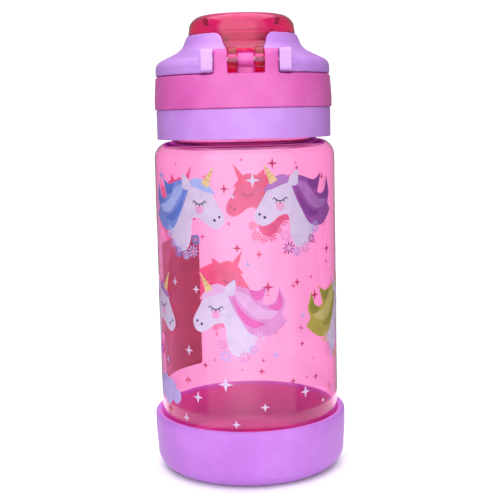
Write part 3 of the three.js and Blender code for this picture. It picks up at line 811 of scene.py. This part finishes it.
def stroke(points, width):
    """A thin tapering line as an outline."""
    places = [Vector(p) for p in points]
    left, right = [], []
    for i, here in enumerate(places):
        along = places[min(i + 1, len(places) - 1)] - places[max(i - 1, 0)]
        side = Vector((-along.y, along.x)).normalized() * width / 2
        taper = 0.45 if i in (0, len(places) - 1) else 1
        left.append(tuple(here + side * taper))
        right.append(tuple(here - side * taper))
    return left + right[::-1]


def disc(x, y, radius, steps=16):
    return arc(x, y, radius, 0, 360 - 360 / steps, steps - 1)


def star(x, y, size):
    """A four-pointed star with hollow sides."""
    points = []
    for i in range(4):
        angle = math.pi / 2 * i
        tip = Vector((math.cos(angle), math.sin(angle))) * size
        side = Vector((math.cos(angle + math.pi / 4), math.sin(angle + math.pi / 4))) * size * 0.3
        points += [(x + tip.x, y + tip.y), (x + side.x, y + side.y)]
    return points


def flower(x, y, size, petals=9):
    """A daisy of thin petals."""
    shapes = []
    for i in range(petals):
        angle = 2 * math.pi * i / petals
        out = Vector((math.cos(angle), math.sin(angle)))
        shapes.append(stroke([Vector((x, y)) + out * size * s for s in (0.3, 0.65, 1.0)], size * 0.26))
    return shapes


# One unicorn head that faces right, in millimetres about its eye. A third value is a sharp tip.
UNICORN = {
    "head": [(-7.5, 4.5), (-4.5, 7.4), (0, 7.2), (4.2, 3.8), (7.4, -1.4), (9.8, -5.6), (9.4, -8.8),
             (6.7, -10.5), (3.2, -9.2), (0.6, -7.2), (-2.8, -6.6), (-3.8, -9.5), (-4.2, -14),
             (-6.4, -18.6), (-11.0, -19.0), (-14.6, -14.8), (-16.2, -10.4), (-11.5, -4)],
    "ear": [(-7.4, 4.4), (-7.8, 10.2, 1), (-4.6, 7.8), (-3.4, 4.6)],
    "horn": [(0.9, 6.4, 1), (3.9, 4.7, 1), (6.4, 12.8, 1)],
    "fringe": [(-4.4, 7.0), (-0.8, 8.4), (3.0, 6.8), (6.8, 2.2, 1), (2.6, 3.2), (-1.0, 4.6), (-3.8, 5.4)],
    "mane": [(-4.6, 6.2), (-7.6, 7.8), (-11.7, 6.8), (-16.0, 5.8), (-20.2, 8.2, 1), (-18.8, 3.8),
             (-18.0, 1.0), (-20.4, 0.2), (-23.0, 1.8), (-24.4, 6.6, 1), (-26.6, 0.4), (-25.4, -3.6),
             (-27.6, -6.4, 1), (-23.6, -10.0), (-19.0, -12.0), (-13.4, -10.8), (-8.8, -4.4), (-5.6, 2.0)],
    "light": [(-7.2, 5.4), (-11.4, 4.8), (-15.6, 0.4), (-20.0, -2.0), (-24.8, -0.6, 1), (-21.4, -4.8),
              (-15.2, -4.6), (-10.4, 0.2)],
    "dark": [(-6.6, 3.4), (-9.2, -0.6), (-13.0, -4.6), (-18.6, -7.0, 1), (-14.4, -8.4), (-9.8, -5.0)],
    "curl": [(-13.0, 6.2), (-16.2, 5.4), (-19.2, 7.2, 1), (-17.8, 3.0), (-15.6, 2.0), (-13.6, 4.0)],
    "flick": [(-20.0, -0.6), (-23.0, 0.8), (-24.4, 5.2, 1), (-25.6, 0.2), (-23.4, -2.4)],
}
GARLAND = [(-16.2, -12.4, 2.6), (-14.0, -16.6, 2.0), (-10.8, -19.6, 2.4), (-6.8, -20.8, 2.0),
           (-3.4, -19.2, 2.5), (-2.0, -14.8, 2.2)]


def unicorn(palette):
    """A sleeping unicorn's head that faces right, as (ink, layer, outline) shapes."""
    mane, light, dark, petals = palette
    parts = [("white", 0, "head"), (mane, 1, "mane"), (light, 1, "fringe"), (light, 2, "light"),
             (dark, 3, "dark"), (dark, 3, "curl"), (dark, 3, "flick"), ("white", 3, "ear"),
             ("gold", 2, "horn")]
    shapes = [(ink, layer, smooth_loop(UNICORN[part])) for ink, layer, part in parts]
    left, right, tip = (Vector(knot[:2]) for knot in UNICORN["horn"])
    for rise in (0.3, 0.5, 0.7):
        shapes.append(("amber", 3, stroke([left.lerp(tip, rise), right.lerp(tip, rise)], 0.9)))
    eyelid = arc(0, 1.2, 2.6, 208, 332, 8)
    shapes.append(("night", 1, stroke(eyelid, 0.42)))
    for i in range(0, 9, 2):
        root = Vector(eyelid[i])
        out = ((root - Vector((0, 1.2))).normalized() + Vector((0, -0.7))).normalized() * 1.2
        shapes.append(("night", 2, stroke([root, root + out * 0.5, root + out], 0.36)))
    shapes.append(("blush", 1, disc(0.1, -3.3, 1.7)))
    shapes += [("night", 1, disc(6.1, -7.3, 0.55, 10)), ("night", 1, disc(8.0, -6.1, 0.5, 10))]
    for i, (x, y, size) in enumerate(GARLAND):
        shapes += [(petals[i % len(petals)], 2 + i % 2, petal) for petal in flower(x, y, size)]
        shapes.append(("blush", 4, disc(x, y, size * 0.2, 10)))
    return shapes


BLUE = ("blue", "pale_blue", "deep_blue", ("pale_blue", "lilac", "blue"))
PURPLE = ("purple", "pale_purple", "deep_purple", ("lilac", "purple", "rose"))
ROSE = ("rose", "pale_rose", "deep_rose", ("pale_rose", "lilac", "rose"))
OLIVE = ("olive", "pale_olive", "deep_olive", ("pale_olive", "rose", "lilac"))

# Each head's eye: degrees round from the hinge side, height, facing (1 is right), palette.
HEADS = [
    (-31, 110.7, 1, BLUE), (18.5, 111.5, -1, PURPLE), (176, 108.3, 1, ROSE), (229, 108, -1, OLIVE),
    (-70, 69.5, 1, PURPLE), (-22, 71.2, -1, ROSE), (79.5, 68, 1, OLIVE), (191, 70, -1, PURPLE),
]

# The stars on the hinge side: degrees round, height, size, ink.
STARS = [
    (-15, 115, 1.8, "crimson"), (14, 124, 2.1, "crimson"), (30, 122, 0.9, "crimson"),
    (-8, 93, 1.7, "crimson"), (57, 90, 1.9, "crimson"), (52, 118, 1.1, "crimson"),
    (-30, 48, 1.4, "crimson"), (5, 46, 1.5, "crimson"), (25, 41, 1.4, "crimson"),
    (43, 41, 1.5, "crimson"), (32, 55, 1.3, "crimson"), (29, 79, 1.6, "crimson"),
    (43, 73, 2.2, "crimson"), (10, 78, 2.2, "crimson"), (2, 118, 2.9, "white"), (-10, 112, 1.2, "white"),
    (-53, 79, 1.6, "white"), (-35, 77, 1.7, "white"), (-42, 53, 2.1, "white"), (-17, 41, 3.0, "white"),
    (-36, 35, 2.3, "white"), (34, 36, 2.3, "white"), (-2, 87, 1.7, "lilac"), (33, 66, 1.5, "lilac"),
    (14, 52, 1.5, "lilac"), (-42, 41, 0.8, "crimson"),
    (6.6, 32, 1.8, "white"), (-46, 26, 1.8, "white"), (-11, 25.5, 1.8, "white"), (50, 30.5, 1.1, "white"),
]

INKS = {
    "white": ("#C4B0D0", "#BBA6C8"), "gold": ("#CFAE86", "#C49F74"), "amber": ("#B98F5C", "#AB814E"),
    "night": ("#2A1F3C", "#1F172E"), "blush": ("#D590BC", "#CA80AE"),
    "blue": ("#7280CB", "#6773BE"), "pale_blue": ("#9AA2DB", "#8D95D0"),
    "deep_blue": ("#576BBC", "#4D60AE"),
    "purple": ("#8F4797", "#833D8B"), "pale_purple": ("#A266AD", "#965AA1"),
    "deep_purple": ("#7C3889", "#702F7C"),
    "rose": ("#C77FBA", "#BD74AF"), "pale_rose": ("#CC98C8", "#C18CBC"),
    "deep_rose": ("#CC57A6", "#C04C9A"),
    "olive": ("#A39447", "#97883D"), "pale_olive": ("#B4A466", "#A9985A"),
    "deep_olive": ("#877F37", "#7A722E"),
    "lilac": ("#A893CE", "#9C86C4"), "crimson": ("#B52F62", "#A82858"),
}


def scattered_stars():
    """Stars over the rest of the bottle, kept off the heads and the hinge side."""
    dice = random.Random(11)
    circumference = 2 * math.pi * BODY_RADIUS

    def around(distance):
        """The shorter way round the bottle to a place this far along."""
        return (distance + circumference / 2) % circumference - circumference / 2

    taken = [(math.radians(a) * BODY_RADIUS - 7 * facing, z - 4, 17.0) for a, z, facing, _ in HEADS]
    shapes = []
    for _ in range(700):
        u = dice.uniform(math.radians(62), math.radians(298)) * BODY_RADIUS
        z = dice.uniform(BOOT_HIGH.z + 4, SHOULDER_TOP - 9)
        size = dice.choice((0.9, 1.3, 1.7, 2.1, 2.7))
        if all(math.hypot(around(u - x), z - y) > reach + size for x, y, reach in taken):
            taken.append((u, z, size + 8.5))
            shapes.append((dice.choice(("white", "crimson", "lilac")), 0, star(u, z, size)))
    return shapes


def cloud(x, y, size):
    """A small generic cloud of overlapping discs."""
    puffs = [(-1.1, 0, 0.75), (-0.3, 0.45, 0.9), (0.7, 0.3, 0.85), (1.5, -0.1, 0.6), (0.2, -0.2, 0.8)]
    return [("lilac", i % 4, disc(x + dx * size, y + dy * size, r * size, 24))
            for i, (dx, dy, r) in enumerate(puffs)]


def artwork():
    """Every printed shape, laid out flat: across is distance round the bottle, up is height."""
    shapes = []
    for degrees, height, facing, palette in HEADS:
        across = math.radians(degrees) * BODY_RADIUS
        for ink, layer, outline in unicorn(palette):
            shapes.append((ink, layer, [(across + facing * u, height + v) for u, v in outline]))
    for degrees, z, size, ink in STARS:
        shapes.append((ink, 4, star(math.radians(degrees) * BODY_RADIUS, z, size)))
    shapes += scattered_stars()
    shapes += cloud(math.radians(-68) * BODY_RADIUS, 34, 5.2)
    return shapes


def wrapped(name, outlines, inner, outer):
    """Flat outlines wrapped round the bottle as a thin closed film."""
    shape = bmesh.new()
    for outline in outlines:
        shape.faces.new([shape.verts.new((u, v, 0)) for u, v in outline])
    column = 2 * math.pi * BODY_RADIUS / COLUMNS
    low = math.floor(min(v.co.x for v in shape.verts) / column)
    high = math.ceil(max(v.co.x for v in shape.verts) / column)
    for i in range(low, high + 1):
        parts = shape.verts[:] + shape.edges[:] + shape.faces[:]
        bmesh.ops.bisect_plane(shape, geom=parts, plane_co=(i * column, 0, 0), plane_no=(1, 0, 0))
    bmesh.ops.triangulate(shape, faces=shape.faces)
    top = bmesh.ops.extrude_face_region(shape, geom=shape.faces[:])
    raised = {v for v in top["geom"] if isinstance(v, bmesh.types.BMVert)}
    for vert in shape.verts:
        angle = FRONT + vert.co.x / BODY_RADIUS
        radius = outer if vert in raised else inner
        vert.co = (radius * math.cos(angle), radius * math.sin(angle), vert.co.y)
    return working_object(name, shape)


def backing_of(ink):
    """The white base coat under an ink, which is seen through the clear wall from inside. Its tones are
    pinked and raised to make up for the little light inside the bottle: partly the coat's own colour,
    partly painted light.
    """
    kind = {"night": "dark", "white": "bare", "lilac": "bare"}.get(ink, "tinted")
    # Tones raised for the dim inside: painted light on the prints' backs, over the coat's own colour.
    tones = {"dark": ("#8E5560", "#824B56"), "bare": ("#D8A2A6", "#CE969A"),
             "tinted": ("#DE979F", "#D38B93")}
    name = "backing_" + kind
    return bpy.data.materials.get(name) or printed_ink(name, *tones[kind])


def show_backing(film, backing, middle):
    """Gives a finished film's inner faces the backing's material."""
    reach = middle * MM * math.cos(math.pi / COLUMNS)
    second_material(film, backing, lambda face: math.hypot(*face.center.xy) <= reach)


def prints():
    """One film for each ink and layer, each layer a little deeper and prouder than the last."""
    groups = {}
    for ink, layer, outline in artwork():
        groups.setdefault((ink, layer), []).append(outline)
    for (ink, layer), outlines in sorted(groups.items()):
        inner = BODY_RADIUS + 0.05 - 0.01 * layer
        outer = BODY_RADIUS + 0.07 + 0.02 * layer
        material = bpy.data.materials.get("ink_" + ink) or printed_ink("ink_" + ink, *INKS[ink])
        film = wrapped(f"print_{ink}_{layer}", outlines, inner, outer)
        finish_piece(film, "bottle", material, sharp=40)
        show_backing(film, backing_of(ink), (inner + outer) / 2)


def back_label():
    """A plain paper label, stuck on over the print on the back left of the bottle. Its dark red is painted
    shade: a pale label's back, seen in shadow through the red body.
    """
    left, right = (math.radians(a) * BODY_RADIUS for a in (-146, -92))
    outline = rounded([(left, 34, 1.5), (right, 34, 1.5), (right, 91, 1.5), (left, 91, 1.5)])
    label = wrapped("back_label", [outline], BODY_RADIUS + 0.02, BODY_RADIUS + 0.16)
    paper = Surface("label_paper_painted_shade", IOR=1.45)
    fibres = paper.noise(900, 4, 0.6, (1, 1, 0.4))
    bars = paper.nodes.new("ShaderNodeTexWave")
    bars.bands_direction = "Z"
    bars.inputs["Scale"].default_value = 26
    paper.link(paper.place, bars.inputs["Vector"])
    # The dark reds are painted shade for the label's back in shadow behind the red body; the bars are its
    # printed stripes.
    tone = paper.ramp(fibres, [(0.3, linear("#8C1828")), (0.7, linear("#96202F"))])
    stripes = paper.ramp(bars.outputs["Fac"], [(0.45, linear("#96202F")), (0.55, linear("#7C1222"))])
    paper.colour(paper.blend(0.3, tone, stripes))
    paper.roughness(paper.span(fibres, 0.5, 0.65))
    paper.bumps((fibres, 0.1, 0.00006))
    finish_piece(label, "bottle", paper.material, sharp=40)


# ---- Studio -----------------------------------------------------------------------------------

def camera():
    """The photograph's view: from the hinge side, slightly above and slightly to its left."""
    distance, height = 406.4, 141.7
    azimuth, pitch = math.radians(-2.36), math.radians(7.60)
    yaw, roll = math.radians(-0.19), math.radians(-1.32)
    data = bpy.data.cameras.new("camera")
    data.sensor_width = 36
    data.lens = 72.72
    data.clip_start = 0.01
    eye = bpy.data.objects.new("camera", data)
    bpy.context.scene.collection.objects.link(eye)
    place = Matrix.Rotation(azimuth, 4, "Z") @ Matrix.Translation((0, -distance * MM, height * MM))
    aim = Matrix.Rotation(yaw, 4, "Z") @ Matrix.Rotation(math.pi / 2 - pitch, 4, "X")
    eye.matrix_world = place @ aim @ Matrix.Rotation(roll, 4, "Z")
    bpy.context.scene.camera = eye


def softbox(name, place, size, power, aim=(0, 0, 0.09)):
    """A large area lamp that faces the bottle."""
    data = bpy.data.lights.new(name, "AREA")
    data.shape = "RECTANGLE"
    data.size, data.size_y = size
    data.energy = power
    lamp = bpy.data.objects.new(name, data)
    bpy.context.scene.collection.objects.link(lamp)
    toward = Vector(aim) - Vector(place)
    lamp.matrix_world = Matrix.Translation(place) @ toward.to_track_quat("-Z", "Y").to_matrix().to_4x4()
    return lamp


def calculate(tree, operation, *values):
    """One arithmetic step in a node tree. Each value may be a number or a socket."""
    node = tree.nodes.new("ShaderNodeMath")
    node.operation = operation
    for value, socket in zip(values, node.inputs):
        if isinstance(value, bpy.types.NodeSocket):
            tree.links.new(value, socket)
        else:
            socket.default_value = value
    return node.outputs[0]


def fade(tree, source, start, end, low, high):
    """Passes smoothly from low to high while the source goes from start to end."""
    node = tree.nodes.new("ShaderNodeMapRange")
    node.interpolation_type = "SMOOTHSTEP"
    for socket, value in zip(node.inputs[1:5], (start, end, low, high)):
        socket.default_value = value
    tree.links.new(source, node.inputs["Value"])
    return node.outputs["Result"]


def white_light(tree, node, strength):
    """Gives a Background node a white light of some strength, from a socket."""
    node.inputs["Color"].default_value = (1, 1, 1, 1)
    tree.links.new(strength, node.inputs["Strength"])
    return node.outputs[0]


def surround():
    """A white surround that lights the bottle softly from in front and stands bright behind it."""
    world = bpy.data.worlds.new("studio")
    world.use_nodes = True
    tree = world.node_tree
    direction = tree.nodes.new("ShaderNodeTexCoord").outputs["Generated"]
    toward_front = tree.nodes.new("ShaderNodeVectorMath")
    toward_front.operation = "DOT_PRODUCT"
    tree.links.new(direction, toward_front.inputs[0])
    toward_front.inputs[1].default_value = Vector((-0.17, -0.92, 0.36)).normalized()
    lobe = fade(tree, toward_front.outputs["Value"], 0.66, 0.86, 0.26, 1.7)
    axes = tree.nodes.new("ShaderNodeSeparateXYZ")
    tree.links.new(direction, axes.inputs[0])
    panel = calculate(tree, "MULTIPLY", fade(tree, axes.outputs["Y"], -0.45, -0.55, 0, 0.8),
                      fade(tree, axes.outputs["Z"], 0.66, 0.6, 0, 1))
    panel = calculate(tree, "MULTIPLY", panel, fade(tree, axes.outputs["Z"], -0.6, -0.4, 0, 1))
    fill = white_light(tree, tree.nodes["Background"], calculate(tree, "ADD", lobe, panel))

    rays = tree.nodes.new("ShaderNodeLightPath")
    through = calculate(tree, "MAXIMUM", rays.outputs["Is Camera Ray"], rays.outputs["Is Transmission Ray"])
    scattered = calculate(tree, "MINIMUM", rays.outputs["Diffuse Depth"], 1)
    strength = calculate(tree, "MULTIPLY_ADD", scattered, 2.0, 1.15)
    backdrop = white_light(tree, tree.nodes.new("ShaderNodeBackground"), strength)
    mix = tree.nodes.new("ShaderNodeMixShader")
    for source, socket in zip((through, fill, backdrop), mix.inputs):
        tree.links.new(source, socket)
    tree.links.new(mix.outputs[0], tree.nodes["World Output"].inputs["Surface"])
    world.cycles.sampling_method = "NONE"
    bpy.context.scene.world = world


def floor_disc():
    """A plain pale floor under the bottle."""
    shape = bmesh.new()
    bmesh.ops.create_circle(shape, cap_ends=True, segments=128, radius=0.115)
    floor = working_object("floor", shape)
    paper = Surface("floor_paper", IOR=1.4)
    grain = paper.noise(300, 3)
    paper.colour(paper.ramp(grain, [(0.3, (0.86, 0.86, 0.87, 1)), (0.7, (0.9, 0.9, 0.9, 1))]))
    paper.roughness(paper.span(grain, 0.7, 0.85))
    floor.data.materials.append(paper.material)
    return floor


def studio():
    """The surround, the floor, softboxes overhead and behind, and a wash on the floor alone."""
    surround()
    softbox("overhead", (0, 0.05, 1.3), (1.6, 1.6), 14)
    rear = softbox("rear_fill", (0, 0.9, 0.3), (0.9, 0.7), 5)
    rear.visible_glossy = False
    rear.visible_transmission = False
    floor_only = bpy.data.collections.new("floor_only")
    floor_only.objects.link(floor_disc())
    wash = softbox("floor_wash", (0, 0.05, 1.2), (2.2, 2.2), 12.5)
    wash.light_linking.receiver_collection = floor_only
    bpy.context.scene.cycles.blur_glossy = 0  # light through the clear wall stays sharp
    view = bpy.context.scene.view_settings
    view.view_transform = "Standard"
    view.look = "None"


# ---- The scene --------------------------------------------------------------------------------

camera()
studio()
finish_piece(bottle(), "bottle", CLEAR, "bottle_body", sharp=50)
sleeve = finish_piece(boot(), "boot", BOOT, "base_boot")
# The boot's inside floor and walls take the pinker copy: painted light seen through the bottle.
second_material(sleeve, BOOT_INSIDE_PAINTED_LIGHT, lambda face: face.center.z < (BOOT_HIGH.z - 2) * MM
                and (face.normal.z > 0.9 or face.normal.xy.dot(face.center.xy) < 0))
finish_piece(neck_ring(), "gasket", SEAL, "neck_gasket", sharp=40)
finish_piece(lid_ring(), "lid", VIOLET, "lid_skirt", sharp=40)
finish_piece(lid_band(), "lid", PINK, "lid_collar")
finish_piece(drinking_spout(), "lid", SPOUT_PINK, "drinking_spout", sharp=40)
finish_piece(spout_ring(), "lid", SEAL, "spout_seal")
finish_piece(vent_cap(), "lid", SEAL, "vent_valve", sharp=40)
finish_piece(lid_cover(), "cover", VIOLET, "flip_cover")
# The hinge blocks take the paler violet copy: painted light on their lit faces.
for side, (x0, x1) in zip(("right", "left"), both_sides(*KNUCKLE_SPAN)):
    knuckle = knuckle_block(x0, x1)
    knuckle.name = "knuckle_" + side
    finish_piece(knuckle, "cover", PAINTED_LIGHT_VIOLET, sharp=30)
finish_piece(cover_dome(), "cover", WINDOW, "cover_window", sharp=35)
finish_piece(spout_plug(), "cover", PLUG, "cover_plug", sharp=40)
finish_piece(pin("hinge_rod", "hinge_pin"), "lid", STEEL, "hinge_pin", sharp=40)
finish_piece(pin("latch_rod", "latch_pin"), "lid", STEEL, "latch_pin", sharp=40)
finish_piece(latch_rocker(), "latch", VIOLET, "latch_button")
coil = finish_piece(latch_coil(), "lid", STEEL, "latch_spring")
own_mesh(coil)
prints()
back_label()
